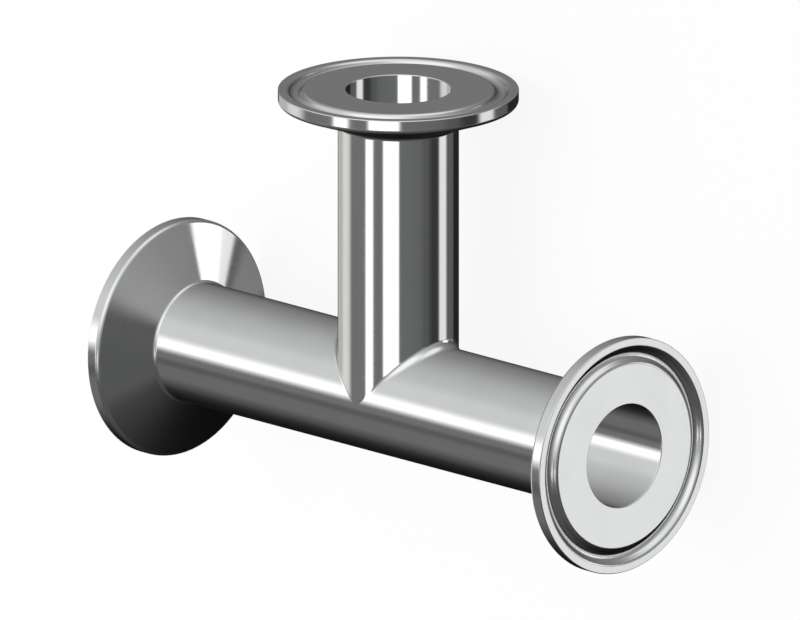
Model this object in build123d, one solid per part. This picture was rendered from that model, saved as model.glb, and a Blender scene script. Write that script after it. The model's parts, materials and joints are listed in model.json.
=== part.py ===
from build123d import *

import math
import os

# Equal clamp tee for hygienic tubing. A run tube, a branch tube and three turned clamp
# ferrules are welded and polished into one piece. Sizes are in millimetres, angles in degrees.
# The run lies along X and the branch leaves along +Y. The origin is where their axes cross.
# The tee lies on its three rims, with +Z up.

# Tubes, both of one size
tube_od = 25.4
tube_wall = 1.65

# Distance from the origin to each sealing face
run_reach = 66.7
branch_reach = 66.7

# Ferrule. Its flat rim carries the seal, the clamp's wedge closes on the cone behind the
# rim, and a short straight neck leads from the cone to the weld.
ferrule_od = 50.5
rim_thickness = 2.85
cone_angle = 20.0
neck_length = 5.3
neck_fillet = 0.8
rim_front_round = 0.2
rim_back_round = 1.0
mouth_round = 0.2

# Seal groove, an arc across the sealing face with its lips well rounded over
groove_inset = 3.6
groove_radius = 1.3
groove_depth = 1.4
lip_round = 0.9

# Crotch, where the branch meets the run. The tubes have one diameter, so the line where
# they meet rises to both walls' crests and fades there by itself. The blends along it,
# one outside and one in the bore, stop this far below the crests.
crotch_blend = 2.0
bore_blend = 0.8
blend_run_out = 0.2

# Worked out from the sizes above
tube_r = tube_od / 2
bore_r = tube_r - tube_wall
rim_r = ferrule_od / 2
groove_r = rim_r - groove_inset
groove_half = math.sqrt(groove_radius**2 - (groove_radius - groove_depth) ** 2)
cone_length = (rim_r - tube_r) * math.tan(math.radians(cone_angle))
ferrule_length = rim_thickness + cone_length + neck_length

# Axes of the tubes. Each tube's seam is kept clear of the points where the crotch fades.
RUN_AXIS = Plane((0, 0, 0), x_dir=(0, -1, 0), z_dir=(1, 0, 0))
BRANCH_AXIS = Plane((0, 0, 0), x_dir=(1, 0, 0), z_dir=(0, 1, 0))


def crossed_bars(radius, blend):
    """Two round bars that cross as the tubes do, up to the welds, with their crotch blended."""
    run_half = run_reach - ferrule_length
    branch_end = branch_reach - ferrule_length
    run = RUN_AXIS * Cylinder(radius, 2 * run_half)
    branch = BRANCH_AXIS * Cylinder(radius, branch_end, align=(Align.CENTER, Align.CENTER, Align.MIN))
    bars = run + branch
    middle = Box(2 * radius + 4 * blend, 2 * radius + 4 * blend, 2 * (radius - blend_run_out))
    crossing = bars & middle
    return bars + fillet(crossing.edges().filter_by(GeomType.ELLIPSE), blend)


def ferrule_section():
    """Half section of a ferrule, on +Y of its axis, from its weld to its sealing face at X = 0."""
    weld = -ferrule_length
    rim_back = -rim_thickness
    neck = rim_back - cone_length
    groove_inner = (0, groove_r - groove_half)
    groove_outer = (0, groove_r + groove_half)
    outline = Curve() + [
        Polyline((weld, bore_r), (0, bore_r), groove_inner),
        ThreePointArc(groove_inner, (-groove_depth, groove_r), groove_outer),
        Polyline(groove_outer, (0, rim_r), (rim_back, rim_r), (neck, tube_r), (weld, tube_r), (weld, bore_r)),
    ]
    rounds = {
        (0, bore_r): mouth_round,
        groove_inner: lip_round,
        groove_outer: lip_round,
        (0, rim_r): rim_front_round,
        (rim_back, rim_r): rim_back_round,
        (neck, tube_r): neck_fillet,
    }
    section = make_face(outline)
    for corner, radius in rounds.items():
        section = fillet(section.vertices().sort_by_distance(corner)[0], radius)
    return section


def clamp_tee():
    """The whole fitting: the tubes with their bores, and a ferrule on each of the three ends."""
    fitting = crossed_bars(tube_r, crotch_blend) - crossed_bars(bore_r, bore_blend)
    ferrule = Rotation(180, 0, 0) * revolve(ferrule_section(), Axis.X)
    for turn, reach in ((0, run_reach), (180, run_reach), (90, branch_reach)):
        fitting += Rotation(0, 0, turn) * Pos(reach, 0, 0) * ferrule
    return fitting


os.makedirs("parts", exist_ok=True)
export_step(clamp_tee(), "parts/clamp_tee.step")
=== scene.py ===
import json
import math

import bpy
import numpy as np
from mathutils import Matrix, Vector


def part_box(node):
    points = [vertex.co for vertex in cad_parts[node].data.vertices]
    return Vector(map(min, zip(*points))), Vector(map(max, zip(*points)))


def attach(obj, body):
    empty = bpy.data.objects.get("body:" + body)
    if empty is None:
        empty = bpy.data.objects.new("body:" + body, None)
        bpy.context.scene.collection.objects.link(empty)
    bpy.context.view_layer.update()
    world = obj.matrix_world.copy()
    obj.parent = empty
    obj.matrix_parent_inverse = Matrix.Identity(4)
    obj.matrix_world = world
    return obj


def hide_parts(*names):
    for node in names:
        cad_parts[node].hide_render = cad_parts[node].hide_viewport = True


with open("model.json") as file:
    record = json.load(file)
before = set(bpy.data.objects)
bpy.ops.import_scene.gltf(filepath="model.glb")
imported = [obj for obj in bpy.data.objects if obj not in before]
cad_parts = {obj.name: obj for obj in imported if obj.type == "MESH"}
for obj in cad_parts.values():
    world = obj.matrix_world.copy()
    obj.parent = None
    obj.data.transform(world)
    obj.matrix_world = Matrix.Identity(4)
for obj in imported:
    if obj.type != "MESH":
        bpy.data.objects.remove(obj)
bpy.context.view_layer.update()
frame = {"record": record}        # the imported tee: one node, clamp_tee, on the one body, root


# Tubes. Two lengths of thin stainless tube of one size meet at a right angle. The branch is
# welded to a collar pulled out of the run, and the crotch is ground to a small round on both
# sides of the wall.
MM = 0.001
NODE = "clamp_tee"
box_low, box_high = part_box(NODE)
run_reach = box_high.x            # from the crossing of the axes to a sealing face
branch_reach = box_high.y
rim_r = -box_low.y                # the run's rims are the lowest thing along Y
stated = {mount["name"]: mount for mount in frame["record"]["mounts"]}
bore_r = stated["run_bore"]["dims"]["r_mm"] * MM
tube_wall = 1.65 * MM
tube_r = bore_r + tube_wall
crotch_blend = 2.0 * MM           # radius of the round outside
bore_blend = 0.8 * MM             # and of the one in the bore

FACETS_ROUND = 240                # one count for all rings, so that patches share corners
STEPS_ALONG_TUBE = 6
STEPS_ACROSS_BLEND = 12
ring = np.arange(FACETS_ROUND + 1) * (2 * math.pi / FACETS_ROUND) - math.pi
TUBE, BORE, FLATS, ROUNDS = range(4)      # the finishes, as material indices
patches = []


def add_patch(points, normals, lengths, finish, place):
    """Keeps one surface patch: a grid of points, their outward normals and their texture lengths.
    place turns a patch made along an arm (a along it, c and s across it) into the tee's X, Y, Z."""
    points = np.stack(place(*np.moveaxis(points, -1, 0)), axis=-1)
    normals = np.stack(place(*np.moveaxis(normals, -1, 0)), axis=-1)
    down = points[1:, :-1] - points[:-1, :-1]
    across = points[:-1, 1:] - points[:-1, :-1]
    if (np.cross(down, across) * normals[:-1, :-1]).sum() < 0:
        points, normals, lengths = points[:, ::-1], normals[:, ::-1], lengths[:, ::-1]
    patches.append((points, normals, lengths, finish))


def right_arm(a, c, s):
    return a, c, s


def left_arm(a, c, s):
    return -a, c, s


def branch_arm(a, c, s):
    return c, a, s


def wall(radius, start, end, side):
    """A tube's wall along its arm: the circle (radius cos t, radius sin t) carried straight from
    a = start(t) to a = end(t). side is 1 for the outside and -1 for the bore, whose normals look
    at the axis."""
    share = np.linspace(0, 1, STEPS_ALONG_TUBE + 1)[:, None]
    c, s = np.cos(ring), np.sin(ring)
    a = start + (end - start) * share
    flat = np.zeros_like(a)
    points = np.stack((a, flat + radius * c, flat + radius * s), axis=-1)
    normals = np.stack((flat, flat + side * c, flat + side * s), axis=-1)
    lengths = np.stack((a, flat + radius * ring), axis=-1)
    return points, normals, lengths


ROUNDING = 1e-9                   # radians by which the ring's corner on a crest may be off
LEAST_TURN = 1e-6                 # radians, as the ball's turn fades to nothing at a crest


def crotch(radius, blend, side):
    """The round in the corner between run and branch, on +X. A ball of radius blend rolls along
    touching both tubes, its centre at (radius + blend) (cos t, cos t, sin t), with t from -90 to
    90 degrees round both tubes. Across, the surface turns about that centre from the point where
    the ball touches the run to the one where it touches the branch, so it fades at both crests."""
    t = ring[np.abs(ring) <= math.pi / 2 + ROUNDING]
    share = np.linspace(0, 1, STEPS_ACROSS_BLEND + 1)[:, None]
    c, s = np.cos(t), np.sin(t)
    centre = (radius + blend) * np.stack((c, c, s), axis=-1)
    to_run = np.stack((0 * c, -c, -s), axis=-1)
    to_branch = np.stack((-c, 0 * c, -s), axis=-1)
    turn = np.arccos(np.clip((to_run * to_branch).sum(-1), -1, 1))
    turn = np.maximum(turn, LEAST_TURN)
    from_run = (np.sin((1 - share) * turn) / np.sin(turn))[..., None]
    from_branch = (np.sin(share * turn) / np.sin(turn))[..., None]
    across = from_run * to_run + from_branch * to_branch
    across /= np.linalg.norm(across, axis=-1, keepdims=True)
    lengths = np.stack(((share - 0.5) * blend * turn, 0 * share + radius * t), axis=-1)
    return centre + blend * across, -side * across, lengths


def run_start(radius, blend):
    """Where the run's wall begins: at the blend on the branch's side, at the tee's middle on the
    other side."""
    return (radius + blend) * np.maximum(np.cos(ring), 0)


def branch_start(radius, blend):
    """Where the branch's wall begins: at the blend, which it meets on both sides."""
    return (radius + blend) * np.abs(np.cos(ring))


# Ferrules. Each end carries a flange turned from stainless bar and butt welded on: a short neck,
# the cone that the clamp's wedge closes on, a thin rim, and a flat face with a round seal groove.
rim_thickness = 2.85 * MM
cone_angle = math.radians(20)     # of the cone's side from the sealing face
neck_fillet = 0.8 * MM
rim_front_round = 0.2 * MM
rim_back_round = 1.0 * MM
mouth_round = 0.2 * MM
groove_inset = 3.6 * MM           # of the groove's middle from the rim's edge
groove_radius = 1.3 * MM
groove_depth = 1.4 * MM
lip_round = 0.9 * MM
STEPS_ON_ROUND = 12
STEPS_ON_GROOVE = 28

cone_length = (rim_r - tube_r) * math.tan(cone_angle)
groove_r = rim_r - groove_inset
groove_centre = groove_radius - groove_depth                 # of its arc, just under the face
lip_reach = math.sqrt((groove_radius + lip_round) ** 2 - (groove_centre + lip_round) ** 2)
lip_turn = math.atan2(lip_reach, groove_centre + lip_round)  # where lip and groove meet
facing_out = math.pi / 2          # directions of a normal in the section: along the radius
facing_face = 0.0                 # and out of the sealing face
facing_back = math.pi - cone_angle


def in_corner(a, r, first, second, radius):
    """The centre of a round in the corner (a, r) between two edges with these normals: from the
    corner against the sum of the normals, divided by one plus their product."""
    n1 = np.array((math.cos(first), math.sin(first)))
    n2 = np.array((math.cos(second), math.sin(second)))
    return np.array((a, r)) - radius * (n1 + n2) / (1 + n1 @ n2)


def ferrule_outline():
    """The ferrule's section from weld to bore, as points (a, r) with a = 0 at the sealing face,
    the normal's direction at each, and the row after each arc. It is a row of arcs joined by
    straight edges: an arc is centre + radius (cos n, sin n) while the normal n turns, with a
    negative radius if hollow."""
    neck = -rim_thickness - cone_length
    arcs = (
        (in_corner(neck, tube_r, facing_out, facing_back, -neck_fillet),
         -neck_fillet, facing_out, facing_back, STEPS_ON_ROUND),
        (in_corner(-rim_thickness, rim_r, facing_back, facing_out, rim_back_round),
         rim_back_round, facing_back, facing_out, STEPS_ON_ROUND),
        (in_corner(0, rim_r, facing_out, facing_face, rim_front_round),
         rim_front_round, facing_out, facing_face, STEPS_ON_ROUND),
        ((-lip_round, groove_r + lip_reach), lip_round, facing_face, -lip_turn, STEPS_ON_ROUND),
        ((groove_centre, groove_r), -groove_radius, -lip_turn, lip_turn, STEPS_ON_GROOVE),
        ((-lip_round, groove_r - lip_reach), lip_round, lip_turn, facing_face, STEPS_ON_ROUND),
        (in_corner(0, bore_r, facing_face, -facing_out, mouth_round),
         mouth_round, facing_face, -facing_out, STEPS_ON_ROUND),
    )
    points, turns, ends = [], [], []
    for centre, radius, first, last, steps in arcs:
        n = np.linspace(first, last, steps + 1)
        points.append(np.array(centre) + radius * np.stack((np.cos(n), np.sin(n)), axis=-1))
        turns.append(n)
        ends.append(len(n))
    return np.concatenate(points), np.concatenate(turns), np.cumsum(ends)


outline, outline_turn, arc_ends = ferrule_outline()


def ferrule(reach):
    """The outline turned about its arm: (a, r) goes to (reach + a, r cos t, r sin t)."""
    a, r = outline[:, :1], outline[:, 1:]
    c, s = np.cos(ring), np.sin(ring)
    along, out = np.cos(outline_turn)[:, None], np.sin(outline_turn)[:, None]
    points = np.stack((reach + a + 0 * c, r * c, r * s), axis=-1)
    normals = np.stack((along + 0 * c, out * c, out * s), axis=-1)
    step = np.linalg.norm(np.diff(outline, axis=0), axis=1)
    walked = np.concatenate(((0,), np.cumsum(step)))[:, None]
    lengths = np.stack((walked + 0 * c, 0 * walked + tube_r * ring), axis=-1)
    return points, normals, lengths


# The whole skin. Three arms and the crotch's rounds close into one piece, as the welds and the
# polishing leave it.
for place, reach, starts in (
    (right_arm, run_reach, run_start),
    (left_arm, run_reach, run_start),
    (branch_arm, branch_reach, branch_start),
):
    weld_end, mouth = reach + outline[0, 0], reach + outline[-1, 0]
    add_patch(*wall(tube_r, starts(tube_r, crotch_blend), weld_end, 1), TUBE, place)
    add_patch(*wall(bore_r, starts(bore_r, bore_blend), mouth, -1), BORE, place)
    turned = ferrule(reach)
    for first, end in zip((0, *arc_ends), arc_ends):
        add_patch(*(grid[first:end] for grid in turned), ROUNDS, place)
    for end in arc_ends[:-1]:
        add_patch(*(grid[end - 1:end + 1] for grid in turned), FLATS, place)
for place in (right_arm, left_arm):
    add_patch(*crotch(tube_r, crotch_blend, 1), TUBE, place)
    add_patch(*crotch(bore_r, bore_blend, -1), BORE, place)

WELD_GRID = 1e-7                  # metres: corners in one cell of this size are one
CELL_SHIFT = 0.37                 # of a cell, so that round sizes don't fall on a cell's edge
GRAIN = "grain"                   # the UV map, in millimetres along and round


def sewn_mesh(name):
    """One closed mesh of all patches. Corners that fall on the same cell of a fine grid become
    one vertex, and a face that has lost a corner at a crest becomes a triangle."""
    points = np.concatenate([p.reshape(-1, 3) for p, _, _, _ in patches])
    normals = np.concatenate([n.reshape(-1, 3) for _, n, _, _ in patches])
    lengths = np.concatenate([v.reshape(-1, 2) for _, _, v, _ in patches])
    quads, finishes, first = [], [], 0
    for grid, _, _, finish in patches:
        rows, columns = grid.shape[:2]
        index = first + np.arange(rows * columns).reshape(rows, columns)
        quad = np.stack((index[:-1, :-1], index[1:, :-1], index[1:, 1:], index[:-1, 1:]), axis=-1)
        quads.append(quad.reshape(-1, 4))
        finishes.append(np.full(len(quads[-1]), finish))
        first += rows * columns
    quads, finishes = np.concatenate(quads), np.concatenate(finishes)
    cells = np.round(points / WELD_GRID + CELL_SHIFT).astype(np.int64)
    _, kept, sewn = np.unique(cells, axis=0, return_index=True, return_inverse=True)
    sewn = sewn.ravel()
    corner = sewn[quads]
    lost = corner == np.roll(corner, -1, axis=1)
    whole = ~lost.any(axis=1)
    thirds = lost.sum(axis=1) == 1
    keep_three = ~lost[thirds]
    order = np.concatenate((np.flatnonzero(whole), np.flatnonzero(thirds)))
    corners = np.concatenate((quads[whole].ravel(), quads[thirds][keep_three]))
    sizes = np.concatenate((np.full(whole.sum(), 4), np.full(thirds.sum(), 3)))
    mesh = bpy.data.meshes.new(name)
    mesh.vertices.add(len(kept))
    mesh.vertices.foreach_set("co", points[kept].astype(np.float32).ravel())
    mesh.loops.add(len(corners))
    mesh.loops.foreach_set("vertex_index", sewn[corners].astype(np.int32))
    mesh.polygons.add(len(sizes))
    mesh.polygons.foreach_set("loop_start", (np.cumsum(sizes) - sizes).astype(np.int32))
    mesh.polygons.foreach_set("material_index", finishes[order].astype(np.int32))
    mesh.polygons.foreach_set("use_smooth", np.ones(len(sizes), bool))
    mesh.update(calc_edges=True)
    grain = mesh.uv_layers.new(name=GRAIN)
    grain.data.foreach_set("uv", (lengths[corners] / MM).astype(np.float32).ravel())
    mesh.normals_split_custom_set(normals[corners])
    return mesh


tee = bpy.data.objects.new("tee_body", sewn_mesh("tee_body"))
bpy.context.scene.collection.objects.link(tee)
tee.visible_glossy = False        # bright steel shows the tent, not itself, as in the picture
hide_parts(NODE)
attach(tee, "root")


# Finish. All of it is stainless steel, bare. The tubes are polished outside almost to a mirror,
# which leaves hair lines round them, and the bores are honed. The ferrules' flats are faced
# and buffed, and their rounds keep faint rings from the lathe. A thin haze from wiping lies on it.
STEEL_LIGHT = (0.805, 0.812, 0.815)
STEEL_DARK = (0.777, 0.784, 0.788)
LINE_HEIGHT = 1e-6                 # metres from the bottom of a polishing line to its top
LINE_NOISE = (1.0, 2.0, 0.6)       # scale, detail and roughness of the noise that draws the lines
LINE_LEVELS = (0.25, 0.75)         # of that noise, at a line's bottom and top
HAZE_SIZE = 9.0                    # millimetres from one cloud of haze to the next
HAZE_NOISE = (3.0, 0.5)            # detail and roughness of its clouds
HAZE_LEVELS = (0.3, 0.7)           # of the clouds, where clear and where thickest


def node(tree, kind, inputs=(), **settings):
    """Adds a node. Each input is a socket to link from, or a value; None leaves it as it is."""
    made = tree.nodes.new(kind)
    for name, value in settings.items():
        setattr(made, name, value)
    for socket, value in zip(made.inputs, inputs):
        if isinstance(value, bpy.types.NodeSocket):
            tree.links.new(value, socket)
        elif value is not None:
            socket.default_value = value
    return made


def math_node(tree, operation, *inputs):
    return node(tree, "ShaderNodeMath", inputs, operation=operation).outputs[0]


def smooth(tree, value, low, high, at_low=0.0, at_high=1.0):
    """A smooth step: at_low where value is low or less, at_high where it is high or more."""
    return node(tree, "ShaderNodeMapRange", (value, low, high, at_low, at_high),
                interpolation_type="SMOOTHSTEP").outputs[0]


def new_group(name, taken, given):
    """A node group with these input and output sockets, each a name and a kind."""
    group = bpy.data.node_groups.new(name, "ShaderNodeTree")
    for way, sockets in (("INPUT", taken), ("OUTPUT", given)):
        for socket, kind in sockets:
            group.interface.new_socket(socket, in_out=way, socket_type="NodeSocket" + kind)
    entry, result = group.nodes.new("NodeGroupInput"), group.nodes.new("NodeGroupOutput")
    return group, entry.outputs, result.inputs


def mix_colours(tree, share, first, second):
    """first where share is 0, second where it is 1. A Mix node keeps five sockets of other kinds
    between the share and its two colours, and its mixed colour is its third output."""
    other_kinds = (None,) * 5
    inputs = (share, *other_kinds, first, second)
    return node(tree, "ShaderNodeMix", inputs, data_type="RGBA").outputs[2]


def line_group():
    """Hair lines round a tube or a face. Grain gives millimetres along and round it. Noise is read
    at (along / spacing, radius cos turn / length, radius sin turn / length), with turn the angle
    round, so that each line is long and thin and closes on itself."""
    group, taken, given = new_group(
        "polishing lines",
        (("Grain", "Vector"), ("Radius", "Float"), ("Spacing", "Float"), ("Length", "Float")),
        (("Lines", "Float"),),
    )
    grain = node(group, "ShaderNodeSeparateXYZ", (taken["Grain"],)).outputs
    turn = math_node(group, "DIVIDE", grain["Y"], taken["Radius"])
    size = math_node(group, "DIVIDE", taken["Radius"], taken["Length"])
    along = math_node(group, "DIVIDE", grain["X"], taken["Spacing"])
    level = math_node(group, "MULTIPLY", math_node(group, "COSINE", turn), size)
    upright = math_node(group, "MULTIPLY", math_node(group, "SINE", turn), size)
    place = node(group, "ShaderNodeCombineXYZ", (along, level, upright)).outputs[0]
    noise = node(group, "ShaderNodeTexNoise", (place, None, *LINE_NOISE)).outputs[0]
    group.links.new(smooth(group, noise, *LINE_LEVELS), given["Lines"])
    return group


def haze_group():
    """The wiping haze: clouds of noise on the object, finer clouds over coarse ones, as a mask."""
    group, taken, given = new_group(
        "wiping haze", (("Place", "Vector"), ("Size", "Float")), (("Haze", "Float"),)
    )
    scale = math_node(group, "DIVIDE", 1 / MM, taken["Size"])
    inputs = (taken["Place"], None, scale, *HAZE_NOISE)
    clouds = node(group, "ShaderNodeTexNoise", inputs).outputs[0]
    group.links.new(smooth(group, clouds, *HAZE_LEVELS), given["Haze"])
    return group


polishing_lines = line_group()
wiping_haze = haze_group()


def steel_finish(name, radius, spacing, length, smoothest, line_share, haze_share, depth):
    """One finish. The haze turns the colour from light to dark steel. Roughness is the smoothest
    value plus a share of the lines and a share of the haze, and the lines stand up in relief."""
    material = bpy.data.materials.new(name)
    material.use_nodes = True
    tree = material.node_tree
    shader = tree.nodes["Principled BSDF"]
    shader.inputs["Metallic"].default_value = 1.0
    grain = node(tree, "ShaderNodeUVMap", uv_map=GRAIN).outputs[0]
    lines = node(tree, "ShaderNodeGroup", (grain, radius / MM, spacing, length),
                 node_tree=polishing_lines).outputs[0]
    place = node(tree, "ShaderNodeTexCoord").outputs["Object"]
    haze = node(tree, "ShaderNodeGroup", (place, HAZE_SIZE), node_tree=wiping_haze).outputs[0]
    colour = mix_colours(tree, haze, (*STEEL_LIGHT, 1), (*STEEL_DARK, 1))
    tree.links.new(colour, shader.inputs["Base Color"])
    rough = math_node(tree, "MULTIPLY_ADD", lines, line_share, smoothest)
    rough = math_node(tree, "MULTIPLY_ADD", haze, haze_share, rough)
    tree.links.new(rough, shader.inputs["Roughness"])
    relief = node(tree, "ShaderNodeBump")
    relief.inputs["Strength"].default_value = depth
    relief.inputs["Distance"].default_value = LINE_HEIGHT
    tree.links.new(lines, relief.inputs["Height"])
    tree.links.new(relief.outputs[0], shader.inputs["Normal"])
    return material


# Each finish: its name, the radius at which lengths round it are measured, the spacing and length
# of its lines in millimetres, the smoothest roughness, what lines and haze add to it, and how
# much of the line height shows.
for name, *values in (
    ("polished tube", tube_r, 0.35, 7.0, 0.050, 0.030, 0.020, 0.30),
    ("honed bore", bore_r, 0.50, 9.0, 0.060, 0.040, 0.020, 0.40),
    ("faced flats", tube_r, 0.40, 40.0, 0.060, 0.030, 0.020, 0.25),
    ("turned rounds", tube_r, 0.25, 40.0, 0.200, 0.060, 0.020, 0.50),
):
    tee.data.materials.append(steel_finish(name, *values))


# Camera. It looks a little down into the branch and well round the run, with the branch pointing
# up the picture. Its view is parallel, as from far off.
CAMERA_TURN = math.radians(44.8)   # of the view round the branch, from square on to the run
CAMERA_TILT = math.radians(15.6)   # of the view down from square on to the branch
PIXELS_PER_MM = 4.776
CROSSING_PIXEL = (398.35, 395.6)   # where the axes cross in the picture
PICTURE = (800, 620)
CAMERA_DISTANCE = 0.6              # metres, well clear of the tee

right = np.array((math.cos(CAMERA_TURN), 0, -math.sin(CAMERA_TURN)))
near = np.array((math.sin(CAMERA_TURN), 0, math.cos(CAMERA_TURN)))
along_branch = np.array((0, 1, 0))
back = math.cos(CAMERA_TILT) * near + math.sin(CAMERA_TILT) * along_branch
up = math.cos(CAMERA_TILT) * along_branch - math.sin(CAMERA_TILT) * near
aim = right * (PICTURE[0] / 2 - CROSSING_PIXEL[0]) + up * (CROSSING_PIXEL[1] - PICTURE[1] / 2)
aim *= MM / PIXELS_PER_MM
camera_axes = Matrix(np.stack((right, up, back), axis=1).tolist()).to_4x4()
camera_data = bpy.data.cameras.new("camera")
camera_data.type = "ORTHO"
camera_data.ortho_scale = PICTURE[0] / PIXELS_PER_MM * MM
camera = bpy.data.objects.new("camera", camera_data)
bpy.context.scene.collection.objects.link(camera)
camera.matrix_world = Matrix.Translation(aim + back * CAMERA_DISTANCE) @ camera_axes
bpy.context.scene.camera = camera
bpy.context.scene.view_settings.view_transform = "Standard"


# Studio. A pale tent stands round the tee, open as a white background to the camera. In the
# steel it shows pale above and grey below, with white cards hung along the branch.
STEEL_LEVEL = 0.8                  # share of the light that the steel gives back
TONE_POWER = 2.2                   # from a tone, as the picture shows it, to its light
WHITE = 1.1                        # a tone bright enough to stay white in the steel
AMBIENT = 0.55                     # level of the tent for all that isn't mirrored
BACKGROUND = 1.0                   # level that the camera sees past the tee: white

# The tent itself, in tones. The ground is palest towards one side, the low sky darkest towards
# another, each given in degrees round the branch, with the range of the cosine of the turn from
# it over which the tone changes. Straight below, the ground runs to one grey, which leaves no
# seam where all sides meet, and high up the sky runs to one pale tone.
GROUND_SIDE = -33
GROUND_RANGE = (-1.0, 0.37)
GROUND_TONES = (0.08, 0.307)
LOW_SKY_SIDE = 140
LOW_SKY_RANGE = (-1.3, 1.5)
LOW_SKY_TONES = (0.81, 0.38)
BELOW_RANGE = (-86.0, -52.0)       # degrees along the branch, here and in the next two ranges
BELOW_TONE = 0.22
HIGH_RANGE = (11.0, 104.0)
HIGH_TONE = 0.775
HORIZON_RANGE = (-32.0, 24.0)      # where the ground turns into the sky

# Each card: its middle round the branch, half its width, how far it leans for each degree up,
# its bottom and top along the branch, the width of its soft edge, all in degrees, and its tone.
cards = (
    ("right_dusk", 66, 26, 0.0, -4, 13, 12, 0.57),
    ("right_low", 66, 18, 0.0, -30, 1, 8, 0.33),
    ("right_dark", 76, 13, 0.0, -30, -8, 14, 0.22),
    ("left_low", -105, 30, 0.0, -45, -26, 10, 0.40),
    ("left_grey", -84, 22, 0.0, -18, -9, 5, 0.42),
    ("left_back", -134, 31, 0.0, -24, -4, 10, 0.67),
    ("left_glow", -121, 12, 0.0, -24, -4, 12, 0.81),
    ("side_glow", -92, 26, 0.0, 2, 34, 14, 0.785),
    ("side_band", -88, 13, 0.0, -5.5, 9, 14, WHITE),
    ("slant_strip", -82.3, 8.2, -1.6, -21, 3, 5, WHITE),
    ("front_strip", -14, 15.3, 0.0, -20, -10, 5, WHITE),
    ("right_grey", 117, 13, 0.0, -24, -13, 6, 0.345),
    ("right_pale", 120, 14, 0.0, -13, -1, 5, 0.47),
    ("window_low", 94.5, 10.5, 0.0, -24, -6, 8, 0.868),
    ("window_high", 103, 9.8, 0.0, -3, 12.6, 1.5, WHITE),
    ("window_shade", 110, 2.8, 0.0, -3, 12, 2.5, 0.90),
)
# Two soft lights above: their middles round and along the branch, where they start to fade and
# where they end, in degrees from the middle, and their tones.
top_lights = (
    (-30, 30, 8, 47, 0.97),
    (75, 76, 4, 38, 0.91),
)
# Three faint tints in the greys a little below the horizon, which the branch's wall mirrors. They
# are placed as the cards are, each with the colour that multiplies the light.
tints = (
    ("mauve", -88, 16, 0.0, -22, -9, 8, (1.06, 1.0, 1.01)),
    ("cream", -137, 32, 0.0, -22, -9, 8, (1.02, 1.0, 0.965)),
    ("green", 35, 34, 0.0, -26, -8, 8, (0.97, 1.0, 0.975)),
)
WHITE_STARTS = 0.95                # tones from here up stay white


def mix_values(tree, share, first, second):
    """first where share is 0, second where it is 1. The Mix node's second socket, a share for
    vectors, stays unused."""
    return node(tree, "ShaderNodeMix", (share, None, first, second)).outputs[0]


def card_group():
    """A card in the tent, which lays its tone over what is seen so far by a mask. The mask is the
    product of three smooth steps, each as wide as the soft edge: at half the width from the
    middle, which is middle + lean x along, at the bottom, and at the top."""
    names = ("Seen", "Round", "Along", "Middle", "Half Width", "Lean", "Bottom", "Top", "Edge",
             "Tone")
    sockets = [(name, "Float") for name in names]
    group, taken, given = new_group("card", sockets, (("Seen", "Float"),))
    leant = math_node(group, "MULTIPLY_ADD", taken["Along"], taken["Lean"], taken["Middle"])
    off = math_node(group, "SUBTRACT", taken["Round"], leant)
    off = math_node(group, "ABSOLUTE", math_node(group, "WRAP", off, 180.0, -180.0))
    inside = math_node(group, "SUBTRACT", taken["Half Width"], off)
    above = math_node(group, "SUBTRACT", taken["Along"], taken["Bottom"])
    below = math_node(group, "SUBTRACT", taken["Top"], taken["Along"])
    half = math_node(group, "MULTIPLY", taken["Edge"], 0.5)
    less = math_node(group, "MULTIPLY", half, -1.0)
    mask = smooth(group, inside, less, half)
    mask = math_node(group, "MULTIPLY", mask, smooth(group, above, less, half))
    mask = math_node(group, "MULTIPLY", mask, smooth(group, below, less, half))
    seen = mix_values(group, mask, taken["Seen"], taken["Tone"])
    group.links.new(seen, given["Seen"])
    return group


world = bpy.data.worlds.new("tent")
bpy.context.scene.world = world
world.use_nodes = True
tent = world.node_tree
tent.nodes.clear()
direction = node(tent, "ShaderNodeTexCoord").outputs["Generated"]


def part_along(axis):
    """How far the direction looked in goes along this axis, from -1 to 1."""
    inputs = (direction, tuple(axis))
    return node(tent, "ShaderNodeVectorMath", inputs, operation="DOT_PRODUCT").outputs["Value"]


turn_round = math_node(tent, "ARCTAN2", part_along(right), part_along(near))
round_branch = math_node(tent, "DEGREES", turn_round)
along = math_node(tent, "DEGREES", math_node(tent, "ARCSINE", part_along(along_branch)))


def towards(side):
    """1 towards this direction round the branch and -1 away from it."""
    off = math_node(tent, "SUBTRACT", turn_round, math.radians(side))
    return math_node(tent, "COSINE", off)


ground = smooth(tent, towards(GROUND_SIDE), *GROUND_RANGE, *GROUND_TONES)
below = smooth(tent, along, *BELOW_RANGE, 1.0, 0.0)
ground = mix_values(tent, below, ground, BELOW_TONE)
low_sky = smooth(tent, towards(LOW_SKY_SIDE), *LOW_SKY_RANGE, *LOW_SKY_TONES)
high = smooth(tent, along, *HIGH_RANGE)
sky = mix_values(tent, high, low_sky, HIGH_TONE)
for middle_round, middle_along, full, none, tone in top_lights:
    turn, lift = math.radians(middle_round), math.radians(middle_along)
    middle = math.cos(lift) * (math.sin(turn) * right + math.cos(turn) * near)
    middle += math.sin(lift) * along_branch
    edges = math.cos(math.radians(none)), math.cos(math.radians(full))
    sky = mix_values(tent, smooth(tent, part_along(middle), *edges), sky, tone)
seen = mix_values(tent, smooth(tent, along, *HORIZON_RANGE), ground, sky)
card = card_group()


def with_card(seen, name, *sizes):
    """The tone seen in a direction once this card hangs in front of what was seen so far."""
    inputs = (seen, round_branch, along, *sizes)
    return node(tent, "ShaderNodeGroup", inputs, node_tree=card, label=name).outputs[0]


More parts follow.
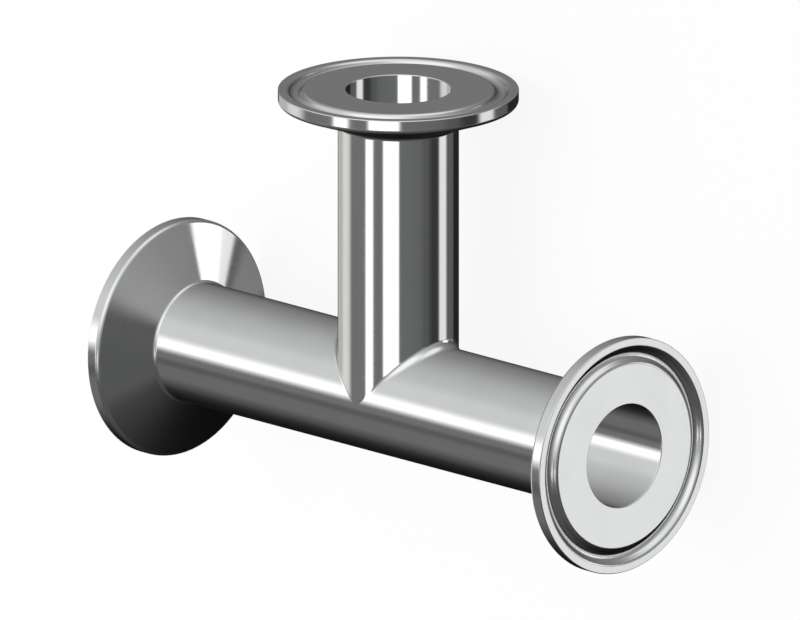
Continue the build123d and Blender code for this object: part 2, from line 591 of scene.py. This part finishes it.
for name, *sizes in cards:
    seen = with_card(seen, name, *sizes)
ray = node(tent, "ShaderNodeLightPath").outputs
mirror = math_node(tent, "MAXIMUM", ray["Is Glossy Ray"], ray["Is Transmission Ray"])
level = math_node(tent, "DIVIDE", math_node(tent, "POWER", seen, TONE_POWER), STEEL_LEVEL)
level = mix_values(tent, mirror, AMBIENT, level)
level = mix_values(tent, ray["Is Camera Ray"], level, BACKGROUND)
tinted = math_node(tent, "MULTIPLY", mirror, math_node(tent, "LESS_THAN", seen, WHITE_STARTS))
colour = (1, 1, 1, 1)
for name, *sizes, tint in tints:
    mask = math_node(tent, "MULTIPLY", with_card(0.0, name, *sizes, 1.0), tinted)
    colour = mix_colours(tent, mask, colour, (*tint, 1))
background = node(tent, "ShaderNodeBackground", (colour, level))
tent.links.new(background.outputs[0], node(tent, "ShaderNodeOutputWorld").inputs[0])


# Lamps. One wide soft lamp hangs over the tee and a weaker one stands off to its left. The steel
# mirrors the tent's cards in their place. They light the floor and give the tee its shadow there.
for name, position, width, power in (     # in metres and watts
    ("overhead_lamp", (-0.15, 0.10, 0.75), 0.6, 3.2),
    ("side_lamp", (-0.70, -0.25, 0.45), 0.5, 1.1),
):
    lamp_data = bpy.data.lights.new(name, "AREA")
    lamp_data.shape = "SQUARE"
    lamp_data.size = width
    lamp_data.energy = power
    lamp = bpy.data.objects.new(name, lamp_data)
    bpy.context.scene.collection.objects.link(lamp)
    lamp.location = position
    lamp.rotation_euler = Vector(position).to_track_quat("Z", "Y").to_euler()
    lamp.visible_glossy = False
    lamp.visible_camera = False


# Floor. A sheet of matt white card under the three rims. The camera sees it lit white, and a
# share of its own paint keeps the tee's soft shadow.
FLOOR_HALF = 2.0                   # metres, half the sheet's side
FLOOR_PAINT = (0.93, 0.93, 0.93)
FLOOR_SHADOW = 0.10                # share of the paint that the camera sees

corners = [(x * FLOOR_HALF, y * FLOOR_HALF, box_low.z)
           for x, y in ((-1, -1), (1, -1), (1, 1), (-1, 1))]
floor_mesh = bpy.data.meshes.new("floor")
floor_mesh.from_pydata(corners, [], [(0, 1, 2, 3)])
floor = bpy.data.objects.new("floor", floor_mesh)
bpy.context.scene.collection.objects.link(floor)
floor.visible_glossy = False       # the steel shows the tent's own lower half

white_card = bpy.data.materials.new("white card")
white_card.use_nodes = True
tree = white_card.node_tree
tree.nodes.clear()
paint = node(tree, "ShaderNodeBsdfDiffuse", ((*FLOOR_PAINT, 1),)).outputs[0]
white = node(tree, "ShaderNodeEmission", ((1, 1, 1, 1), BACKGROUND)).outputs[0]
ray = node(tree, "ShaderNodeLightPath").outputs
lit = math_node(tree, "MULTIPLY", ray["Is Camera Ray"], 1 - FLOOR_SHADOW)
surface = node(tree, "ShaderNodeMixShader", (lit, paint, white)).outputs[0]
tree.links.new(surface, node(tree, "ShaderNodeOutputMaterial").inputs[0])
floor_mesh.materials.append(white_card)
